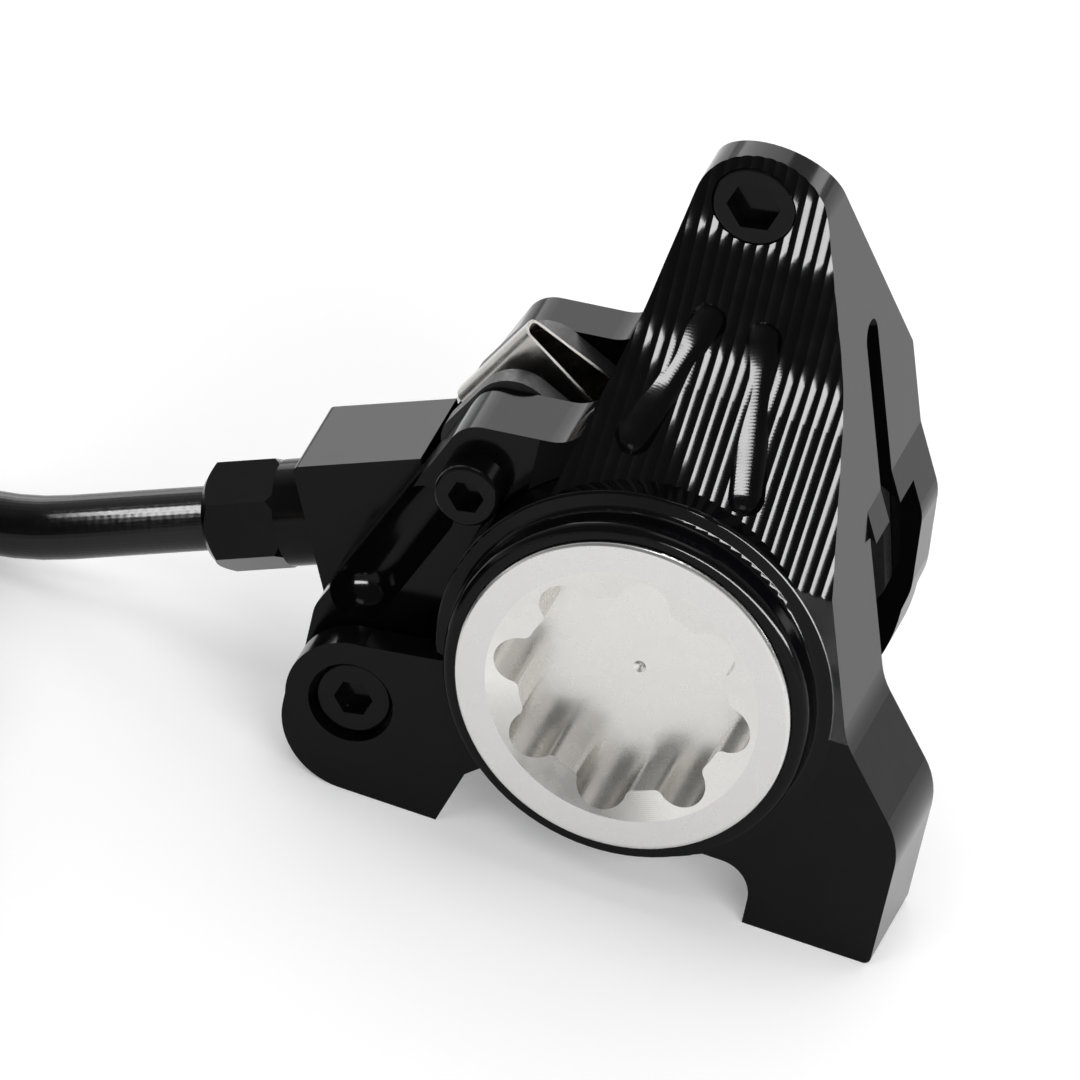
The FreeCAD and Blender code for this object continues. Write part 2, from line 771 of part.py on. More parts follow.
def ring(name, inner, outer, front, length, place=CALIPER):
    """A seal of rectangular section with softened edges."""
    keep(name, turned(name, [
        (inner, front, "0.15"),
        (outer, front, "0.15"),
        (outer, f"{front} + {length}", "0.15"),
        (inner, f"{front} + {length}", "0.15"),
    ], place))


def seals():
    gap = "fit_gap"
    ring("bore_cap_seal", f"neck_radius - groove_depth + {gap}", "neck_radius", f"({CAP_SEAT} + {gap})",
         f"groove_length - 2 * {gap}")
    length = f"seal_length - 2 * {gap}"
    front = f"({SEAL_FRONT} + {gap})"
    mirrored = f"({MIRROR} - {SEAL_FRONT} - seal_length + {gap})"
    for name, start in (("outboard_piston_seal", front), ("inboard_piston_seal", mirrored)):
        ring(name, "piston_radius + piston_gap", f"piston_radius + seal_width - {gap}", start, length)
    ring("transfer_port_seal", f"plug_thread + {gap}", "plug_radius", f"({PLUG_SEAT} - ring_thick)", "ring_thick",
         ("-ear_left", "0", rel("-ear_drop")))
    ring("bleed_screw_seal", f"bleed_thread + {gap}", "bleed_radius", f"({BLEED_SEAT} - ring_thick)", "ring_thick",
         ("-bleed_left", "0", rel("bleed_height")))


def pistons():
    """Two cups, open towards their pads."""
    cup_floor = f"({PLATE_FACE} - piston_length + piston_wall)"
    outboard = (PISTON_BACK, PLATE_FACE, cup_floor)
    inboard = tuple(f"({MIRROR} - {depth})" for depth in outboard)
    for name, (back, face, floor) in (("outboard_piston", outboard), ("inboard_piston", inboard)):
        keep(name, turned(name, [
            ("0", back),
            ("piston_radius", back, "0.5"),
            ("piston_radius", face, "0.3"),
            ("piston_radius - piston_wall", face, "0.3"),
            ("piston_radius - piston_wall", floor, "0.8"),
            ("0", floor),
        ], CALIPER))


def pads():
    """Each pad is a steel plate with a tab for the pin, and a lining that faces the rotor."""
    tab_end = "-(pin_reach + tab_reach)"
    low, high = "(pin_shift - tab_low)", "(pin_shift + tab_high)"
    plate = [
        ("-pad_outer", low, "1"),
        (tab_end, f"{low} + 0.6", "2.4"),
        (tab_end, f"{high} - 0.6", "3.4"),
        ("-pad_outer", high, "1"),
        ("-pad_outer", PAD_HALF, "2"),
        ("pad_cut", PAD_HALF, "pad_round"),
        ("pad_inner", "pad_flat", "2"),
        ("pad_inner", "-pad_flat", "2"),
        ("pad_cut", f"-{PAD_HALF}", "pad_round"),
        ("-pad_outer", f"-{PAD_HALF}", "2"),
    ]
    edge = f"{PAD_HALF} - lining_margin"
    lining = [
        ("-(pad_outer - lining_margin)", edge, "1.2"),
        ("pad_cut - 0.4", edge, "pad_round"),
        ("pad_inner - lining_margin", "pad_flat - 0.6", "2"),
        ("pad_inner - lining_margin", "-(pad_flat - 0.6)", "2"),
        ("pad_cut - 0.4", f"-({edge})", "pad_round"),
        ("-(pad_outer - lining_margin)", f"-({edge})", "1.2"),
    ]
    face = f"({PLATE_FACE} + plate_thick)"
    rubbing = f"({face} + lining_thick)"
    for side, mirror in (("outboard", False), ("inboard", True)):
        for kind, corners, holes, front, back in (
            ("plate", plate, [("-pin_reach", "pin_shift", "pin_hole")], PLATE_FACE, face),
            ("lining", lining, [], face, rubbing),
        ):
            if mirror:
                front, back = f"({MIRROR} - {back})", f"({MIRROR} - {front})"
            body = new_body(f"{side}_pad_{kind}", CALIPER, pad_turn())
            slab(body, "Pad", front, back, [corners], holes)
            keep(body.Name, body)


def pad_pin():
    """The pin with its socket head on the outboard ear, and the clip in its groove past the inboard ear."""
    head = f"({PIN_EAR_FRONT} - pin_head_rise)"
    groove = f"({INNER_BACK} + fit_gap)"
    tip = f"({INNER_BACK} + pin_tip)"
    pin = turned("pad_pin", [
        ("0", head),
        ("pin_head", head, "0.35"),
        ("pin_head", PIN_EAR_FRONT),
        ("pin_radius", PIN_EAR_FRONT),
        ("pin_radius", groove),
        ("pin_radius - clip_groove", groove),
        ("pin_radius - clip_groove", f"{groove} + clip_thick + fit_gap"),
        ("pin_radius", f"{groove} + clip_thick + fit_gap"),
        ("pin_radius", tip, "0.4"),
        ("0", tip),
    ], pin_place())
    socket(pin, "pin_socket", head, 1.6)
    keep("pad_pin", pin)
    clip = turned("pad_pin_clip", [
        ("pin_radius - clip_groove + fit_gap", groove),
        ("clip_radius", groove),
        ("clip_radius", f"{groove} + clip_thick"),
        ("pin_radius - clip_groove + fit_gap", f"{groove} + clip_thick"),
    ], pin_place())
    slab(clip, "Pocket", f"{groove} - 1", f"{groove} + clip_thick + 1", [[
        ("-1.1", "0"), ("1.1", "0"), ("1.6", "-5"), ("-1.6", "-5"),
    ]])
    keep("pad_pin_clip", clip)


def pad_spring():
    """A hairpin strip over the pads' outer edges, whose legs hold the pads apart, notched for the pin."""
    body = new_body("pad_spring", CALIPER, pad_turn())
    sketch = new_sketch(body, "XY_Plane", "-spring_low")
    foot, ridge = "spring_foot_half", "spring_ridge_half"
    inner_foot, inner_ridge = "(spring_foot_half - spring_thick)", "(spring_ridge_half - spring_thick)"
    inner_top = "-(spring_ridge - spring_thick)"
    add_outline(sketch, [
        ("-spring_foot", f"{ROTOR_PLANE} - {foot}"),
        ("-spring_ridge", f"{ROTOR_PLANE} - {ridge}", "0.9"),
        ("-spring_ridge", f"{ROTOR_PLANE} + {ridge}", "0.9"),
        ("-spring_foot", f"{ROTOR_PLANE} + {foot}"),
        ("-spring_foot", f"{ROTOR_PLANE} + {inner_foot}"),
        (inner_top, f"{ROTOR_PLANE} + {inner_ridge}", "0.6"),
        (inner_top, f"{ROTOR_PLANE} - {inner_ridge}", "0.6"),
        ("-spring_foot", f"{ROTOR_PLANE} - {inner_foot}"),
    ])
    strip = body.newObject("PartDesign::Pad", "spring_strip")
    strip.Profile = sketch
    strip.setExpression("Length", bound("spring_low + spring_high"))
    slab(body, "Pocket", OUTER_WALL, INNER_WALL, circles=[("-pin_reach", "pin_shift", "pin_radius + 0.35")])
    keep("pad_spring", body)


def screws():
    """The bleed screw at the lug's top and the plug of the drilled passage between the cylinders."""
    for name, front, seat, size, place in (
        ("bleed_screw", FACE_FLOOR, BLEED_SEAT, "bleed", ("-bleed_left", "0", rel("bleed_height"))),
        ("transfer_port_plug", f"({EAR_FRONT} + plug_sunk)", PLUG_SEAT, "plug",
         ("-ear_left", "0", rel("-ear_drop"))),
    ):
        neck = f"{size}_thread"
        screw = turned(name, [
            ("0", front),
            (f"{size}_radius", front, "0.25"),
            (f"{size}_radius", f"{seat} - ring_thick"),
            (neck, f"{seat} - ring_thick"),
            (neck, f"{seat} + {size}_length - 0.2", "0.3"),
            ("0", f"{seat} + {size}_length - 0.2"),
        ], place)
        socket(screw, f"{size}_socket", front, 1.5)
        keep(name, screw)


def hose_fitting(prefix, place, turn):
    """A compression nut, olive and barbed insert. Local Y runs along the hose, away from its end."""
    flats = "nut_flats / 2"
    corner = f"({flats} / cos(30))"
    length = "(nut_collar + nut_hex)"
    nut = turned(prefix + "_nut", [
        ("hose_radius + fit_gap", "-nut_neck"),
        ("nut_thread", "-nut_neck", "0.3"),
        ("nut_thread", "0"),
        (f"{flats} + 0.3", "0"),
        (f"{flats} + 0.3", "nut_collar"),
        (corner, "nut_collar + 0.5"),
        (corner, f"{length} - 0.9"),
        (f"{flats} - 0.5", length, "0.4"),
        ("hose_radius + fit_gap", length),
    ], place, turn)
    slab(nut, "Pocket", "nut_collar", f"{length} + 1", [polygon_corners(HEX_SIDES, flats, NUT_START)],
         [("0", "0", "nut_flats")])
    keep(prefix + "_nut", nut)
    seat = "-hose_seat"
    olive = turned(prefix + "_olive", [
        ("hose_radius + fit_gap / 2", seat),
        ("olive_radius - 0.4", seat),
        ("olive_radius", f"{seat} + 0.7"),
        ("olive_radius", f"{seat} + olive_length - 0.7"),
        ("olive_radius - 0.4", f"{seat} + olive_length - fit_gap"),
        ("hose_radius + fit_gap / 2", f"{seat} + olive_length - fit_gap"),
    ], place, turn)
    keep(prefix + "_olive", olive)
    insert = turned(prefix + "_insert", [
        ("insert_bore", f"{seat} - insert_head"),
        ("insert_flange", f"{seat} - insert_head"),
        ("insert_flange", seat),
        ("insert_radius", seat),
        ("insert_radius", f"{seat} + insert_length"),
        ("insert_bore", f"{seat} + insert_length"),
    ], place, turn)
    keep(prefix + "_insert", insert)


HOSE_ROUTE = [
    # From its seat in the block straight down to the floor, then along it to the coil
    (-21.5, 17.13),
    (-54.3, 1.85),
    (-68.0, 3.8),
]


def tube(edges, radius, start, direction):
    ends = Part.Wire([Part.Circle(start, direction, radius).toShape()])
    return Part.Wire(edges).makePipeShell([ends], True, False)


def rounded_route(points):
    """Straight runs joined by tangent arcs, each as large as its two runs allow, and the arcs' radii."""
    edges, radii = [], []
    here = points[0]
    for before, corner, after in zip(points, points[1:], points[2:]):
        run_in, run_out = corner - before, after - corner
        half = run_in.getAngle(run_out) / 2
        trim = 0.45 * min(run_in.Length, run_out.Length)
        radius = trim / math.tan(half)
        inward = Vector(run_in).normalize()
        outward = Vector(run_out).normalize()
        start, end = corner - inward * trim, corner + outward * trim
        bisector = (outward - inward).normalize()
        middle = corner + bisector * (radius / math.cos(half) - radius)
        edges += [Part.makeLine(here, start), Part.Arc(start, middle, end).toShape()]
        radii.append(radius)
        here = end
    edges.append(Part.makeLine(here, points[-1]))
    return edges, radii


def cord_feature(name, edges, start, direction):
    shape = tube(edges, value("hose_radius"), start, direction)
    section = math.pi * value("hose_radius") ** 2
    length = sum(edge.Length for edge in edges)
    print(name, "length", round(length, 1), "volume ratio", round(shape.Volume / (section * length), 4))
    return shape, length


def hose_end(place, direction):
    """The widened bore for the insert at a hose's end."""
    return Part.makeCylinder(value("hose_bore"), value("insert_length + 0.4"), place, direction)


def brake_hose():
    level = value(ROTOR_PLANE)
    end = (-value("coil_left - coil_entry"), value("coil_height"))
    points = [Vector(x, level, z) for x, z in [*HOSE_ROUTE, end]]
    edges, radii = rounded_route(points)
    print("hose bend radii", [round(r, 1) for r in radii])
    out = (points[1] - points[0]).normalize()
    shape, _ = cord_feature("brake_hose", edges, points[0], out)
    hose = doc.addObject("Part::Feature", "brake_hose")
    hose.Shape = shape.cut(hose_end(points[0], out))
    keep("brake_hose", hose)


def coil_stops():
    """Where each half turn of the coil starts, as (side, radius, layer), and its last end."""
    outer, step = value("coil_radius"), value("coil_pitch") / 2
    radii = [outer - step * k for k in range(COIL_STEPS + 1)]
    stops, side = [], 1
    for layer in range(COIL_LAYERS):
        for radius in radii if layer % 2 == 0 else radii[::-1]:
            stops.append((side, radius, layer))
            side = -side
    return stops


def hose_coil():
    """Every half turn is one half circle, tilted where it climbs to the next layer."""
    level = value(ROTOR_PLANE)
    centre = Vector(-value("coil_left"), level - value("coil_radius"), value("coil_height"))
    stops = [centre + Vector(0, side * radius, layer * value("layer_height")) for side, radius, layer in coil_stops()]
    entry = Vector(value("coil_entry"), 0, 0)
    edges = [Part.makeLine(stops[0] + entry, stops[0])]
    side = -1
    for start, end in zip(stops, stops[1:]):
        radius = (end - start).Length / 2
        middle = (start + end) / 2 + Vector(side * radius, 0, 0)
        edges.append(Part.Arc(start, middle, end).toShape())
        side = -side
    last = Vector(value("coil_end"), 0, 0)
    edges.append(Part.makeLine(stops[-1], stops[-1] + last))
    shape, length = cord_feature("hose_coil", edges, stops[0] + entry, Vector(-1, 0, 0))
    print("coil's least gap to itself", round(least_gap(edges) - 2 * value("hose_radius"), 2))
    tip = stops[-1] + last
    coil = doc.addObject("Part::Feature", "hose_coil")
    coil.Shape = shape.cut(hose_end(tip, Vector(-1, 0, 0)))
    keep("hose_coil", coil)
    back = f"{ROTOR_PLANE} - 2 * coil_radius"
    top = f"coil_height + {COIL_LAYERS - 1} * layer_height"
    hose_fitting("lever_hose", ("-coil_left + coil_end - hose_seat", back, top),
                 Rotation(Vector(0, 1, 0), Vector(-1, 0, 0)))
    coil_tie()


def least_gap(edges):
    """The least distance between centre-line points that lie over a quarter turn apart along the coil."""
    spacing = 3.0
    apart = int(math.pi * value("coil_radius") / 2 / spacing)
    points = []
    for edge in edges:
        points += edge.discretize(max(2, round(edge.Length / spacing)))[:-1]
    return min(
        (a - b).Length
        for i, a in enumerate(points)
        for b in points[i + apart:]
    )


def coil_tie():
    """A strap round the coil on its far side."""
    outside = "coil_radius - coil_pitch / 4 + hose_radius + tie_gap"
    inside = f"coil_radius - coil_pitch / 4 * {2 * COIL_STEPS - 1} - hose_radius - tie_gap - tie_slack"
    low = "coil_height - hose_radius - tie_gap"
    high = f"coil_height + {COIL_LAYERS - 1} * layer_height + hose_radius + tie_gap"
    body = new_body("coil_tie", ("-coil_left", f"{ROTOR_PLANE} - coil_radius", "0"))
    wraps = []
    for grow, rounding in (("tie_thick", "2.2"), ("0", "1.6")):
        wraps.append([
            (f"-({outside} + {grow})", f"{low} - {grow}", rounding),
            (f"-({inside} - {grow})", f"{low} - {grow}", rounding),
            (f"-({inside} - {grow})", f"{high} + {grow}", rounding),
            (f"-({outside} + {grow})", f"{high} + {grow}", rounding),
        ])
    slab(body, "Pad", "-tie_width / 2", "tie_width / 2", wraps)
    keep("coil_tie", body)


def write_parts():
    doc.recompute()
    for item in doc.Objects:
        if "Invalid" in item.State or "Error" in item.State:
            raise RuntimeError(f"{item.Name}: {item.State}")
    os.makedirs("parts", exist_ok=True)
    for name, item in NODES.items():
        shape = item.Shape
        if shape.isNull() or not shape.isValid():
            raise RuntimeError(f"{name} has no valid shape")
        shape.exportStep(f"parts/{name}.step")
        print(name, len(shape.Solids), round(shape.Volume, 1), [round(v, 2) for v in (
            shape.BoundBox.XMin, shape.BoundBox.XMax, shape.BoundBox.YMin,
            shape.BoundBox.YMax, shape.BoundBox.ZMin, shape.BoundBox.ZMax)])


fill_sheet()
caliper_body()
bore_cap()
seals()
pistons()
pads()
pad_pin()
pad_spring()
screws()
hose_fitting("hose", ("-block_left", ROTOR_PLANE, rel("-block_drop")), hose_turn())
brake_hose()
hose_coil()
write_parts()
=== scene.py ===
import bmesh
import bpy
import math
from mathutils import Matrix, Vector

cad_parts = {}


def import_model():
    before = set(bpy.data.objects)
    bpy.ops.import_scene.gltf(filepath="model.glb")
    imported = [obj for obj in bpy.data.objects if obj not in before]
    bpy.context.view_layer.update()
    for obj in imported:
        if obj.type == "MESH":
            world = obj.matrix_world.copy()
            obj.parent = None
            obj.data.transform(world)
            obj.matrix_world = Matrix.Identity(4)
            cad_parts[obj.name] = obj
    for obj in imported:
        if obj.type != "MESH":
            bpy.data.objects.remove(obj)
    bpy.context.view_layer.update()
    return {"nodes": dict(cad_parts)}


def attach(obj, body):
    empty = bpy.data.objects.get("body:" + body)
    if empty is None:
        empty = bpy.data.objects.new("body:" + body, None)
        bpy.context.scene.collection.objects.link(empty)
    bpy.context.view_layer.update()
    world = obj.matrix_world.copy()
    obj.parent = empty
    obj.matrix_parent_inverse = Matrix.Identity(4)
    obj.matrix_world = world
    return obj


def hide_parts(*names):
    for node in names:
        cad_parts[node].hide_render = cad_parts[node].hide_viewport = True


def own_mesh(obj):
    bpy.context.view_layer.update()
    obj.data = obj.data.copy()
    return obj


# A rear flat-mount disc brake on a pale floor, in metres. The feet stand on the floor, the
# outboard side faces -Y, and the hose leaves towards -X.

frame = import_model()
nodes = frame["nodes"]

MM = 0.001

# The cylinders' height above the floor, and where the plane of the rotor and the hose lies
BORE_HEIGHT = 18.4 * MM
HOSE_DEPTH = 10.25 * MM


# The camera, by the angles in degrees that it looks from, the point in the middle of its
# picture, and the width and distance of that picture

VIEW_AZIMUTH = 9.7
VIEW_ELEVATION = 32.7
VIEW_ROLL = 13.2
VIEW_CENTRE = Vector((-8.93, -8.75, 29.66)) * MM
VIEW_WIDTH = 82.4 * MM
VIEW_DISTANCE = 3.5
SENSOR_MM = 36.0


def camera():
    data = bpy.data.cameras.new("camera")
    data.sensor_width = SENSOR_MM
    data.lens = SENSOR_MM * VIEW_DISTANCE / VIEW_WIDTH
    azimuth, elevation, roll = map(math.radians, (VIEW_AZIMUTH, VIEW_ELEVATION, VIEW_ROLL))
    level = Vector((math.cos(azimuth), math.sin(azimuth), 0))
    back = Vector((
        math.sin(azimuth) * math.cos(elevation),
        -math.cos(azimuth) * math.cos(elevation),
        math.sin(elevation),
    ))
    axes = Matrix((level, back.cross(level), back)).transposed().to_4x4()
    eye = bpy.data.objects.new("camera", data)
    bpy.context.scene.collection.objects.link(eye)
    stand = Matrix.Translation(VIEW_CENTRE + back * VIEW_DISTANCE)
    eye.matrix_world = stand @ axes @ Matrix.Rotation(roll, 4, "Z")
    bpy.context.scene.camera = eye


# Materials. Each is one Principled shader, with noise, wear and bump from its own nodes.


def new_material(name, **settings):
    """A material, its node tree and its shader, with settings named as the sockets are."""
    made = bpy.data.materials.new(name)
    made.use_nodes = True
    shader = made.node_tree.nodes["Principled BSDF"]
    for socket, setting in settings.items():
        shader.inputs[socket.replace("_", " ")].default_value = setting
    return made, made.node_tree, shader


def add(tree, kind, inputs, **settings):
    """A node with its settings, and each input from another node's socket or as a value."""
    made = tree.nodes.new("ShaderNode" + kind)
    for name, setting in settings.items():
        setattr(made, name, setting)
    for name, source in inputs.items():
        if isinstance(source, bpy.types.NodeSocket):
            tree.links.new(source, made.inputs[name])
        else:
            made.inputs[name].default_value = source
    return made


def link(tree, source, shader, socket):
    tree.links.new(source, shader.inputs[socket])


def place(tree):
    """A point's place on the object, in metres."""
    return add(tree, "TexCoord", {}).outputs["Object"]


def place_parts(tree):
    return add(tree, "SeparateXYZ", {0: place(tree)}).outputs


def normal_parts(tree):
    """The parts of the surface's own direction."""
    normal = add(tree, "NewGeometry", {}).outputs["Normal"]
    return add(tree, "SeparateXYZ", {0: normal}).outputs


def math_node(tree, operation, first, second=0.0):
    return add(tree, "Math", {0: first, 1: second}, operation=operation).outputs[0]


def product(tree, factors):
    """Several values multiplied with one another."""
    made = factors[0]
    for factor in factors[1:]:
        made = math_node(tree, "MULTIPLY", made, factor)
    return made


def length(tree, vector):
    return add(tree, "VectorMath", {0: vector}, operation="LENGTH").outputs["Value"]


def normalized(tree, vector):
    return add(tree, "VectorMath", {0: vector}, operation="NORMALIZE").outputs["Vector"]


def dot(tree, vector, axis):
    made = add(tree, "VectorMath", {0: vector, 1: axis}, operation="DOT_PRODUCT")
    return made.outputs["Value"]


def spread(tree, source, low, high, start=0.3, end=0.7):
    """What the source has between start and end, spread from low to high."""
    made = add(tree, "MapRange", {
        "Value": source, "From Min": start, "From Max": end, "To Min": low, "To Max": high,
    })
    return made.outputs[0]


def wave(tree, source, pitch):
    """A sine wave along the source."""
    return math_node(tree, "SINE", math_node(tree, "MULTIPLY", source, math.tau / pitch))


def noise(tree, size, detail=3.0, stretch=(1, 1, 1)):
    """Noise with grains of the given size in metres, drawn out along any axis."""
    scale = [1 / (size * s) for s in stretch]
    scaled = add(tree, "Mapping", {"Vector": place(tree), "Scale": scale})
    made = add(tree, "TexNoise", {"Vector": scaled.outputs[0], "Scale": 1.0, "Detail": detail})
    return made.outputs["Fac"]


def mix(tree, factor, first, second):
    """A colour between two, each a socket or three values."""
    made = add(tree, "Mix", {"Factor": factor}, data_type="RGBA")
    for socket, colour in zip(made.inputs[6:8], (first, second)):
        if isinstance(colour, bpy.types.NodeSocket):
            tree.links.new(colour, socket)
        else:
            socket.default_value = (*colour, 1)
    return made.outputs[2]


def bump(tree, shader, height, distance, strength=1.0, normal=None):
    """Bump on the shader, on the surface's own direction or on another."""
    inputs = {"Height": height, "Distance": distance, "Strength": strength}
    if normal is not None:
        inputs["Normal"] = normal
    link(tree, add(tree, "Bump", inputs).outputs[0], shader, "Normal")


def from_axis(tree, here):
    """A point's way out from the cylinders' axis, seen along it."""
    height = math_node(tree, "SUBTRACT", here["Z"], BORE_HEIGHT)
    return add(tree, "CombineXYZ", {"X": here["X"], "Y": height}).outputs[0]


def turned_up(tree, parts, height):
    """A direction with another height, made one long again."""
    turned = add(tree, "CombineXYZ", {"X": parts["X"], "Y": parts["Y"], "Z": height})
    return normalized(tree, turned.outputs[0])


# The ends (x, z) in millimetres of the two long grooves down the machined face, how far in from
# the outboard side that face reaches, and the chatter's pitch and share of the bump's height
GROOVES = [((-2.0, 46.2), (-4.9, 37.0)), ((2.5, 46.2), (4.8, 35.5))]
GROOVE_HALF_WIDTH = 1.5 * MM
GROOVE_DEPTH_LIMIT = 4.0 * MM
CHATTER_PITCH = 0.24 * MM
CHATTER_SHARE = 0.15


def within(tree, source, limit):
    return math_node(tree, "LESS_THAN", math_node(tree, "ABSOLUTE", source), limit)


def offset(tree, point, axis, start):
    """How far a point lies from a start along an axis."""
    return math_node(tree, "SUBTRACT", dot(tree, point, axis), start.dot(axis))


def chatter(tree):
    """Fine waves across the two long grooves, and nothing anywhere else."""
    here = place(tree)
    front = math_node(tree, "LESS_THAN", place_parts(tree)["Y"], GROOVE_DEPTH_LIMIT)
    marks = []
    for ends in GROOVES:
        top, bottom = (Vector((x, 0, z)) * MM for x, z in ends)
        run = (bottom - top).normalized()
        half = (bottom - top).length / 2 + GROOVE_HALF_WIDTH
        along = offset(tree, here, run, (top + bottom) / 2)
        across = offset(tree, here, run.cross(Vector((0, 1, 0))), top)
        marks.append(product(tree, [
            within(tree, across, GROOVE_HALF_WIDTH),
            within(tree, along, half),
            wave(tree, along, CHATTER_PITCH),
        ]))
    return math_node(tree, "MULTIPLY", front, math_node(tree, "ADD", *marks))


# Where the ribbed face shades as if it leaned back: from this far off the cylinders' axis, right
# of this edge, and where its own direction has less than this along Y
LEAN_START = 15.8 * MM
LEAN_LEFT = -12.0 * MM
LEAN_FACING = -0.3
# How far it leans in its two bright patches, and how much more outside them
LEAN = 0.47
LEAN_EXTRA = 0.22
# The heights between which each patch begins and ends, and how far these slant across the part
LOW_PATCH_FOOT = (33.0 * MM, 36.0 * MM)
LOW_PATCH_SLANT = 1.2
LOW_PATCH_TOP = (43.5 * MM, 45.5 * MM)
HIGH_PATCH_FOOT = (52.3 * MM, 54.3 * MM)
HIGH_PATCH_TOP = (56.8 * MM, 58.8 * MM)
HIGH_PATCH_SLANT = -0.64


def slanted(tree, here, slant):
    """A height that falls or rises across the part."""
    return math_node(tree, "ADD", here["Z"], math_node(tree, "MULTIPLY", here["X"], slant))


def leaning_normal(tree):
    """The surface's direction, with that of the ribbed face turned upwards."""
    here = place_parts(tree)
    parts = normal_parts(tree)
    low = product(tree, [
        spread(tree, here["Z"], 1, 0, *LOW_PATCH_TOP),
        spread(tree, slanted(tree, here, LOW_PATCH_SLANT), 0, 1, *LOW_PATCH_FOOT),
    ])
    high = product(tree, [
        spread(tree, here["Z"], 0, 1, *HIGH_PATCH_FOOT),
        spread(tree, slanted(tree, here, HIGH_PATCH_SLANT), 1, 0, *HIGH_PATCH_TOP),
    ])
    patches = math_node(tree, "MAXIMUM", low, high)
    lean = product(tree, [
        spread(tree, patches, LEAN + LEAN_EXTRA, LEAN, 0, 1),
        math_node(tree, "GREATER_THAN", length(tree, from_axis(tree, here)), LEAN_START),
        math_node(tree, "GREATER_THAN", here["Z"], BORE_HEIGHT),
        math_node(tree, "GREATER_THAN", here["X"], LEAN_LEFT),
        math_node(tree, "LESS_THAN", here["Y"], GROOVE_DEPTH_LIMIT),
        math_node(tree, "LESS_THAN", parts["Y"], LEAN_FACING),
    ])
    return turned_up(tree, parts, math_node(tree, "MAXIMUM", parts["Z"], lean))


CUTTER_MARK_SIZE = 0.12 * MM
CUTTER_MARK_STRETCH = (6, 6, 1)
CUTTER_MARK_SHARE = 0.25
BODY_BUMP_HEIGHT = 0.004 * MM
SMUDGE_SIZE = 3.0 * MM


def black_anodised():
    """Dyed gloss anodising, with cutter marks, smudges and the chatter in the long grooves."""
    made, tree, shader = new_material("black_anodised", IOR=1.22)
    smudge = noise(tree, SMUDGE_SIZE, 5.0)
    tone = mix(tree, smudge, (0.0014, 0.0014, 0.0018), (0.0030, 0.0030, 0.0036))
    link(tree, tone, shader, "Base Color")
    link(tree, spread(tree, smudge, 0.10, 0.15), shader, "Roughness")
    fine = noise(tree, CUTTER_MARK_SIZE, 2.0, CUTTER_MARK_STRETCH)
    height = math_node(
        tree, "ADD",
        math_node(tree, "MULTIPLY", fine, CUTTER_MARK_SHARE),
        math_node(tree, "MULTIPLY", chatter(tree), CHATTER_SHARE),
    )
    bump(tree, shader, height, BODY_BUMP_HEIGHT, normal=leaning_normal(tree))
    return made


# The cap's flat ring ends at this radius, and its sloping dish reaches this far in
RING_INNER = 10.9 * MM
DISH_FLOOR = -8.2 * MM
# The turning marks
RING_PITCH = 0.16 * MM
RING_HEIGHT = 0.0015 * MM
RING_STRENGTH = 0.35
# The dish shades as if it were steeper on this side, up to so much, where it faces outwards
DISH_SHADE = Vector((-0.5, -0.87, 0))
DISH_SHADE_SPAN = (0.25, 0.87)
DISH_LEAN = 0.3
DISH_FACING = -0.8


def silver_anodised():
    """Turned and satin anodised, with fine rings, a soft mottle and a paler dish, whose paler tone
    is partly the machined metal's own and partly a painted brighter reflection.
    """
    made, tree, shader = new_material("silver_anodised", Metallic=1.0)
    here = place_parts(tree)
    parts = normal_parts(tree)
    flat = from_axis(tree, here)
    radius = length(tree, flat)
    inside = math_node(tree, "LESS_THAN", radius, RING_INNER)
    mottle = noise(tree, 2.0 * MM, 4.0)
    ring_tone = mix(tree, mottle, (0.63, 0.625, 0.62), (0.68, 0.675, 0.67))
    # The dish's paler, warmer tone is partly the machined metal's own colour and partly a painted
    # reflection, brighter than the ring's
    dish_tone_and_sheen = mix(tree, mottle, (0.68, 0.665, 0.64), (0.77, 0.755, 0.73))
    link(tree, mix(tree, inside, ring_tone, dish_tone_and_sheen), shader, "Base Color")
    link(tree, spread(tree, mottle, 0.22, 0.32), shader, "Roughness")
    shaded = dot(tree, normalized(tree, flat), DISH_SHADE)
    lean = product(tree, [
        spread(tree, shaded, 0, DISH_LEAN, *DISH_SHADE_SPAN),
        inside,
        math_node(tree, "LESS_THAN", here["Y"], DISH_FLOOR),
        math_node(tree, "LESS_THAN", parts["Y"], DISH_FACING),
    ])
    normal = turned_up(tree, parts, math_node(tree, "ADD", parts["Z"], lean))
    bump(tree, shader, wave(tree, radius, RING_PITCH), RING_HEIGHT, RING_STRENGTH, normal)
    return made


# Grained surfaces: their darkest and lightest tone, their least and most roughness, the size of
# a grain and how far it is drawn out, and the height of the grain
GRAINED = {
    "piston_finish": {
        "dark": (0.30, 0.30, 0.31), "light": (0.42, 0.42, 0.43), "rough": (0.25, 0.4),
        "metallic": 1.0, "stretch": (8, 1, 8),
    },
    "black_steel": {
        "dark": (0.0015, 0.0015, 0.002), "light": (0.004, 0.004, 0.0045), "rough": (0.09, 0.17),
        "metallic": 0.0, "height": 0.0015 * MM, "ior": 1.22,
    },
    "stainless": {
        "dark": (0.42, 0.40, 0.375), "light": (0.56, 0.54, 0.51), "rough": (0.14, 0.3),
        "metallic": 1.0, "grain": 0.2 * MM, "stretch": (10, 1, 10), "height": 0.002 * MM,
    },
    "pad_steel": {
        "dark": (0.008, 0.008, 0.009), "light": (0.02, 0.02, 0.021), "rough": (0.3, 0.5),
        "metallic": 0.0, "height": 0.01 * MM,
    },
    "brass": {
        "dark": (0.62, 0.44, 0.19), "light": (0.75, 0.56, 0.28), "rough": (0.2, 0.35),
        "metallic": 1.0, "stretch": (8, 8, 1),
    },
}
CLOUD_GRAINS = 4


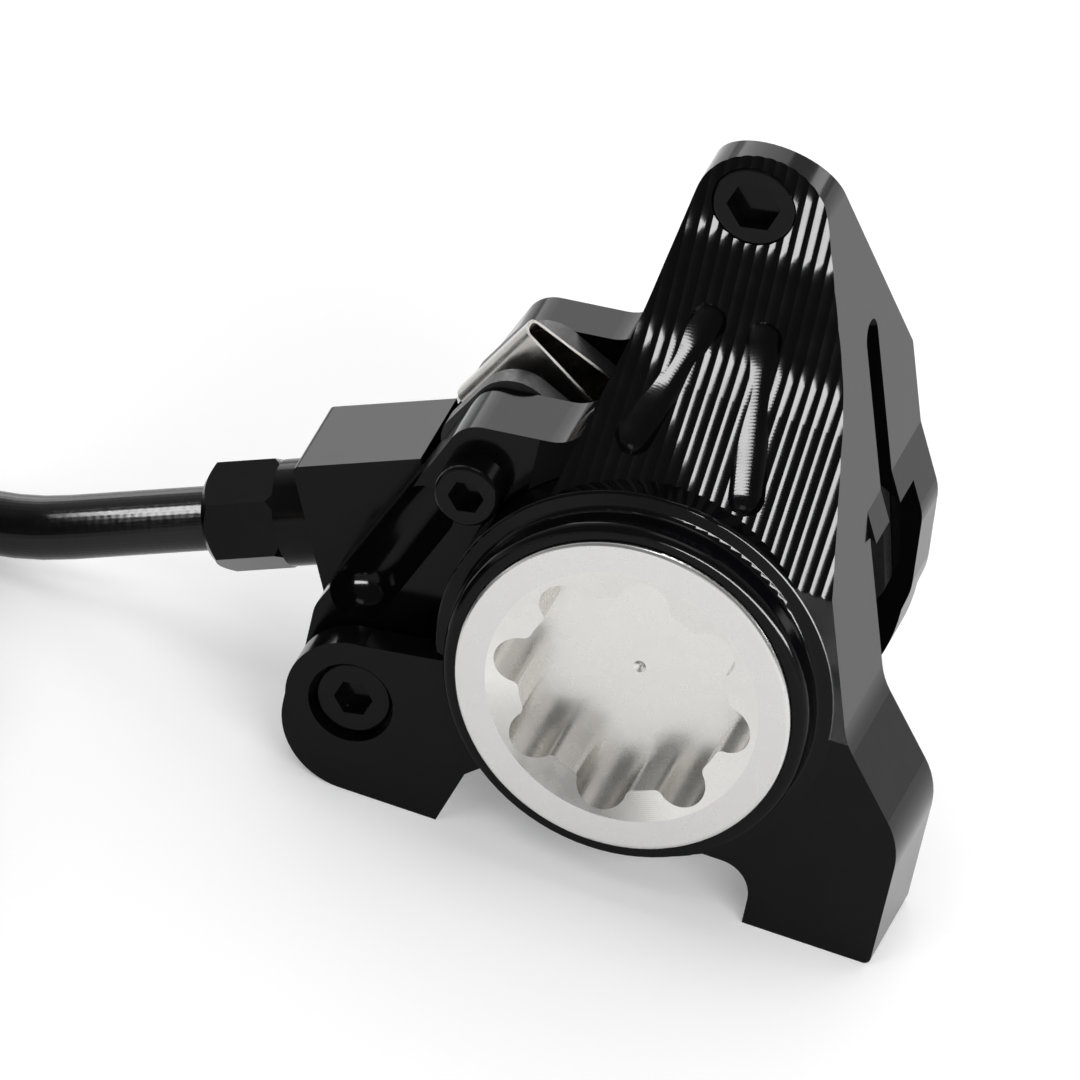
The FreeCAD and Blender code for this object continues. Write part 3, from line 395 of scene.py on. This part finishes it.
def grained(name, dark, light, rough, metallic, grain=0.3 * MM, stretch=(1, 1, 1),
            height=0.004 * MM, ior=1.5):
    """A surface with a clouded tone and a grained gloss."""
    made, tree, shader = new_material(name, Metallic=metallic, IOR=ior)
    grains = noise(tree, grain, 3.0, stretch)
    clouds = noise(tree, CLOUD_GRAINS * grain, 2.0)
    link(tree, mix(tree, clouds, dark, light), shader, "Base Color")
    link(tree, spread(tree, grains, *rough), shader, "Roughness")
    bump(tree, shader, grains, height, 0.5)
    return made


FLECK_SPACING = 0.35 * MM
FLECK_RARITY = (0.86, 0.9)


def pad_lining():
    """Pressed friction compound: brown grains with scattered bright metal."""
    made, tree, shader = new_material("pad_lining", IOR=1.45)
    cells = add(tree, "TexVoronoi", {"Vector": place(tree), "Scale": 1 / FLECK_SPACING})
    chance = add(tree, "SeparateColor", {0: cells.outputs["Color"]}).outputs[0]
    metal = spread(tree, chance, 0, 1, *FLECK_RARITY)
    ground = mix(tree, noise(tree, 0.3 * MM), (0.035, 0.026, 0.02), (0.13, 0.1, 0.075))
    link(tree, mix(tree, metal, ground, (0.5, 0.42, 0.33)), shader, "Base Color")
    link(tree, metal, shader, "Metallic")
    link(tree, spread(tree, metal, 0.85, 0.4, 0, 1), shader, "Roughness")
    bump(tree, shader, cells.outputs["Distance"], 0.03 * MM, 0.6)
    return made


def seal_rubber():
    made, tree, shader = new_material("seal_rubber", IOR=1.5)
    grains = noise(tree, 0.25 * MM, 4.0)
    tone = mix(tree, grains, (0.010, 0.010, 0.010), (0.022, 0.022, 0.022))
    link(tree, tone, shader, "Base Color")
    link(tree, spread(tree, grains, 0.45, 0.65), shader, "Roughness")
    bump(tree, shader, grains, 0.01 * MM, 0.5)
    return made


WARP_SPACING = 0.9 * MM
WEFT_SPACING = 0.7 * MM


def strap():
    """A woven nylon strap: fine ribs across its width."""
    made, tree, shader = new_material("strap", IOR=1.5)
    warp = add(tree, "TexWave", {
        "Vector": place(tree), "Scale": 1 / WARP_SPACING, "Distortion": 0.6, "Detail": 1.0,
    }, bands_direction="DIAGONAL")
    weft = add(tree, "TexWave", {
        "Vector": place(tree), "Scale": 1 / WEFT_SPACING,
    }, bands_direction="Y")
    weave = math_node(tree, "MULTIPLY", warp.outputs["Fac"], weft.outputs["Fac"])
    tone = mix(tree, weave, (0.006, 0.006, 0.007), (0.03, 0.03, 0.032))
    link(tree, tone, shader, "Base Color")
    link(tree, spread(tree, weave, 0.75, 0.5, 0, 1), shader, "Roughness")
    bump(tree, shader, weave, 0.06 * MM, 0.7)
    return made


BRAID_PITCH = 1.3 * MM
BRAID_STRANDS = 24
BRAID_HEIGHT = 0.004 * MM


def hose_jacket():
    """A gloss outer skin over a braid that shows through as fine crossed strands."""
    made, tree, shader = new_material("hose_jacket", IOR=1.35)
    skin = add(tree, "UVMap", {}, uv_map="hose").outputs[0]
    around = add(tree, "SeparateXYZ", {0: skin}).outputs
    along = math_node(tree, "MULTIPLY", around["X"], math.tau / BRAID_PITCH)
    turn = math_node(tree, "MULTIPLY", around["Y"], math.tau * BRAID_STRANDS)
    braid = product(tree, [
        math_node(tree, "SINE", math_node(tree, crossing, along, turn))
        for crossing in ("ADD", "SUBTRACT")
    ])
    tone = mix(tree, noise(tree, 1.0 * MM), (0.003, 0.003, 0.0035), (0.007, 0.007, 0.0075))
    link(tree, tone, shader, "Base Color")
    link(tree, spread(tree, noise(tree, 0.4 * MM), 0.16, 0.26), shader, "Roughness")
    bump(tree, shader, braid, BRAID_HEIGHT)
    return made


# Which nodes have which finish
FINISHES = {
    black_anodised: ["caliper_body"],
    silver_anodised: ["bore_cap"],
    "piston_finish": ["outboard_piston", "inboard_piston"],
    "black_steel": [
        "pad_pin", "pad_pin_clip", "bleed_screw", "transfer_port_plug", "hose_nut",
        "lever_hose_nut",
    ],
    "stainless": ["pad_spring"],
    "pad_steel": ["outboard_pad_plate", "inboard_pad_plate"],
    pad_lining: ["outboard_pad_lining", "inboard_pad_lining"],
    seal_rubber: [
        "bore_cap_seal", "outboard_piston_seal", "inboard_piston_seal", "transfer_port_seal",
        "bleed_screw_seal",
    ],
    "brass": ["hose_olive", "hose_insert", "lever_hose_olive", "lever_hose_insert"],
    strap: ["coil_tie"],
}


def dress_nodes():
    for finish, names in FINISHES.items():
        made = grained(finish, **GRAINED[finish]) if finish in GRAINED else finish()
        for name in names:
            nodes[name].data.materials.clear()
            nodes[name].data.materials.append(made)


# The hose, from its seat in the block to its far fitting

# Points (x, z) in the rotor's plane, in millimetres, from the seat down to the floor and along
# it to the coil
HOSE_ROUTE = [(-21.5, 17.13), (-41.75, 7.69), (-54.3, 1.85), (-68.0, 3.8), (-79.5, 3.8)]
HOSE_DIAMETER = 5.0 * MM
COIL_CENTRE = Vector((-84.5, -21.75, 3.8)) * MM
COIL_RADII = [32.0 * MM, 28.7 * MM, 25.4 * MM, 22.1 * MM]
COIL_LAYERS = 4
LAYER_HEIGHT = 5.6 * MM
# The straight length after the last half turn
COIL_END = 26.0 * MM
POINTS_PER_HALF_TURN = 8
HOSE_SIDES = 32
LINE_ORDER = 3
LINE_STEPS = 6


def coil_stops():
    """The ends of the coil's half turns, which lie on alternate sides of its middle."""
    stops = []
    side = 1
    for layer in range(COIL_LAYERS):
        for radius in COIL_RADII if layer % 2 == 0 else COIL_RADII[::-1]:
            stops.append(COIL_CENTRE + Vector((0, side * radius, layer * LAYER_HEIGHT)))
            side = -side
    return stops


def half_turn(start, end, side):
    """Control points between two stops. They stand outside the half circle, as a smooth line
    cuts inside its control points."""
    centre = (start + end) / 2
    radius = (end - start).length / 2
    outside = radius / math.cos(math.pi / POINTS_PER_HALF_TURN / 2)
    first = (start - centre).normalized()
    outward = Vector((side, 0, 0))
    for i in range(POINTS_PER_HALF_TURN):
        angle = math.pi * (i + 0.5) / POINTS_PER_HALF_TURN
        yield centre + outside * (first * math.cos(angle) + outward * math.sin(angle))


def hose_points():
    """The control points of the whole hose."""
    points = [Vector((x * MM, HOSE_DEPTH, z * MM)) for x, z in HOSE_ROUTE]
    stops = coil_stops()
    side = -1
    for start, end in zip(stops, stops[1:]):
        points += half_turn(start, end, side)
        side = -side
    points += [stops[-1] + Vector((COIL_END * share, 0, 0)) for share in (0.5, 1)]
    return points


def smooth_line(points):
    """The points that a NURBS spline with these control points passes through."""
    data = bpy.data.curves.new("hose_line", "CURVE")
    data.dimensions = "3D"
    spline = data.splines.new("NURBS")
    spline.points.add(len(points) - 1)
    for control, point in zip(spline.points, points):
        control.co = (*point, 1)
    spline.order_u = LINE_ORDER
    spline.use_endpoint_u = True
    spline.resolution_u = LINE_STEPS
    line = bpy.data.objects.new("hose_line", data)
    bpy.context.scene.collection.objects.link(line)
    shown = line.evaluated_get(bpy.context.evaluated_depsgraph_get())
    mesh = bpy.data.meshes.new_from_object(shown)
    path = [v.co.copy() for v in mesh.vertices]
    bpy.data.objects.remove(line)
    bpy.data.meshes.remove(mesh)
    return path


def sweep(path, radius, sides):
    """A closed tube along a path. Its texture coordinates are its length in metres and its
    share of a turn."""
    mesh = bmesh.new()
    tube_uv = mesh.loops.layers.uv.new("hose")
    rings, reached = [], [0.0]
    normal = Vector((0, 0, 1))
    for i, point in enumerate(path):
        tangent = (path[min(i + 1, len(path) - 1)] - path[max(i - 1, 0)]).normalized()
        normal = (normal - tangent * normal.dot(tangent)).normalized()
        across = tangent.cross(normal)
        if i:
            reached.append(reached[-1] + (point - path[i - 1]).length)
        rings.append([
            mesh.verts.new(point + radius * (normal * math.cos(a) + across * math.sin(a)))
            for a in (math.tau * k / sides for k in range(sides))
        ])
    for i in range(len(rings) - 1):
        for k in range(sides):
            n = (k + 1) % sides
            face = mesh.faces.new((rings[i][k], rings[i][n], rings[i + 1][n], rings[i + 1][k]))
            face.smooth = True
            corners = ((i, k), (i, k + 1), (i + 1, k + 1), (i + 1, k))
            for loop, (step, turn) in zip(face.loops, corners):
                loop[tube_uv].uv = (reached[step], turn / sides)
    for ring in (rings[0][::-1], rings[-1]):
        mesh.faces.new(ring)
    return mesh


def hose():
    path = smooth_line(hose_points())
    mesh = sweep(path, HOSE_DIAMETER / 2, HOSE_SIDES)
    mesh.normal_update()
    data = bpy.data.meshes.new("hose")
    mesh.to_mesh(data)
    mesh.free()
    data.materials.append(hose_jacket())
    made = bpy.data.objects.new("hose", data)
    bpy.context.scene.collection.objects.link(made)
    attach(made, "caliper")
    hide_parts("brake_hose", "hose_coil")


def squeezed_spring():
    """A copy of the pad spring, attached to the caliper in place of the original."""
    node = nodes["pad_spring"]
    made = bpy.data.objects.new("spring_sheet", node.data.copy())
    bpy.context.scene.collection.objects.link(made)
    made.matrix_world = node.matrix_world.copy()
    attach(made, "caliper")
    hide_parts("pad_spring")
    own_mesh(made)


# The studio

FLOOR_SIZE = 60.0
FLOOR_DROP = 0.02 * MM
FLOOR_TONE = 0.80
# What the floor adds to itself where it is seen as the backdrop
FLOOR_GLOW = 0.25


def seen_as_backdrop(tree):
    """Whether a ray comes from the camera, a gloss or a clear piece."""
    path = add(tree, "LightPath", {})
    seen = math_node(tree, "MAXIMUM", path.outputs["Is Camera Ray"], path.outputs["Is Glossy Ray"])
    return math_node(tree, "MAXIMUM", seen, path.outputs["Is Transmission Ray"])


def floor():
    mesh = bmesh.new()
    bmesh.ops.create_grid(mesh, x_segments=1, y_segments=1, size=FLOOR_SIZE / 2)
    data = bpy.data.meshes.new("floor")
    mesh.to_mesh(data)
    mesh.free()
    made, tree, shader = new_material("floor", Roughness=0.9, IOR=1.0)
    shader.inputs["Base Color"].default_value = (FLOOR_TONE, FLOOR_TONE, FLOOR_TONE, 1)
    shader.inputs["Emission Color"].default_value = (1, 1, 1, 1)
    glow = math_node(tree, "MULTIPLY", seen_as_backdrop(tree), FLOOR_GLOW)
    link(tree, glow, shader, "Emission Strength")
    data.materials.append(made)
    plane = bpy.data.objects.new("floor", data)
    bpy.context.scene.collection.objects.link(plane)
    plane.location.z = -FLOOR_DROP


# The world's strength: white at the horizon, a room that is dim above and in front, and brighter
# behind, with the parts of a direction between which one turns into the other
HORIZON_STRENGTH = 1.0
ROOM_STRENGTH = 0.25
BACK_STRENGTH = 0.8
HORIZON_SPAN = (0.03, 0.25)
BACK_SPAN = (-0.1, 0.4)


def world():
    made = bpy.data.worlds.new("studio")
    made.use_nodes = True
    tree = made.node_tree
    way = add(tree, "TexCoord", {}).outputs["Generated"]
    towards = add(tree, "SeparateXYZ", {0: way}).outputs
    strength = math_node(
        tree, "MAXIMUM",
        spread(tree, towards["Y"], ROOM_STRENGTH, BACK_STRENGTH, *BACK_SPAN),
        spread(tree, towards["Z"], HORIZON_STRENGTH, ROOM_STRENGTH, *HORIZON_SPAN),
    )
    background = tree.nodes["Background"]
    background.inputs["Color"].default_value = (1, 1, 1, 1)
    link(tree, strength, background, "Strength")
    bpy.context.scene.world = made


LAMP_TARGET = Vector((0, 0, 0.02))


def lamp(name, at, size, power, diffuse=True, gloss=True, only_on=()):
    """A soft box facing the part: one that lights, one that is seen in gloss, or both, on
    everything or only on some pieces."""
    data = bpy.data.lights.new(name, "AREA")
    data.shape = "RECTANGLE"
    data.size, data.size_y = size
    data.energy = power
    made = bpy.data.objects.new(name, data)
    bpy.context.scene.collection.objects.link(made)
    made.location = at
    made.rotation_euler = (Vector(at) - LAMP_TARGET).to_track_quat("Z", "Y").to_euler()
    made.visible_camera = False
    made.visible_diffuse = diffuse
    made.visible_glossy = gloss
    if only_on:
        receivers = bpy.data.collections.new(name)
        for receiver in only_on:
            receivers.objects.link(receiver)
        made.light_linking.receiver_collection = receivers


def lights():
    lamp("key", at=(0.43, -0.55, 0.38), size=(0.5, 0.3), power=3.0, gloss=False)
    lamp("front", at=(-0.22, -0.45, 0.6), size=(0.3, 0.2), power=0.8, gloss=False)
    lamp("window", at=(0.3, -0.7, 0.35), size=(0.5, 0.5), power=0.5, only_on=[nodes["bore_cap"]])
    lamp("top", at=(0.0, 0.05, 0.9), size=(0.4, 0.4), power=1.2)
    lamp("back", at=(-0.28, 0.78, 0.39), size=(0.7, 0.5), power=2.5)
    lamp("back low", at=(0.30, 0.82, 0.24), size=(0.9, 0.2), power=2.2)
    lamp("strip", at=(0.43, -0.55, 0.30), size=(1.25, 0.12), power=30.0, diffuse=False,
         only_on=[nodes["caliper_body"]])
    lamp("hose strip", at=(-0.55, -0.50, 0.56), size=(0.8, 0.24), power=20.0, diffuse=False,
         only_on=[bpy.data.objects["hose"]])


camera()
dress_nodes()
hose()
squeezed_spring()
floor()
world()
lights()

bpy.context.scene.view_settings.view_transform = "Standard"
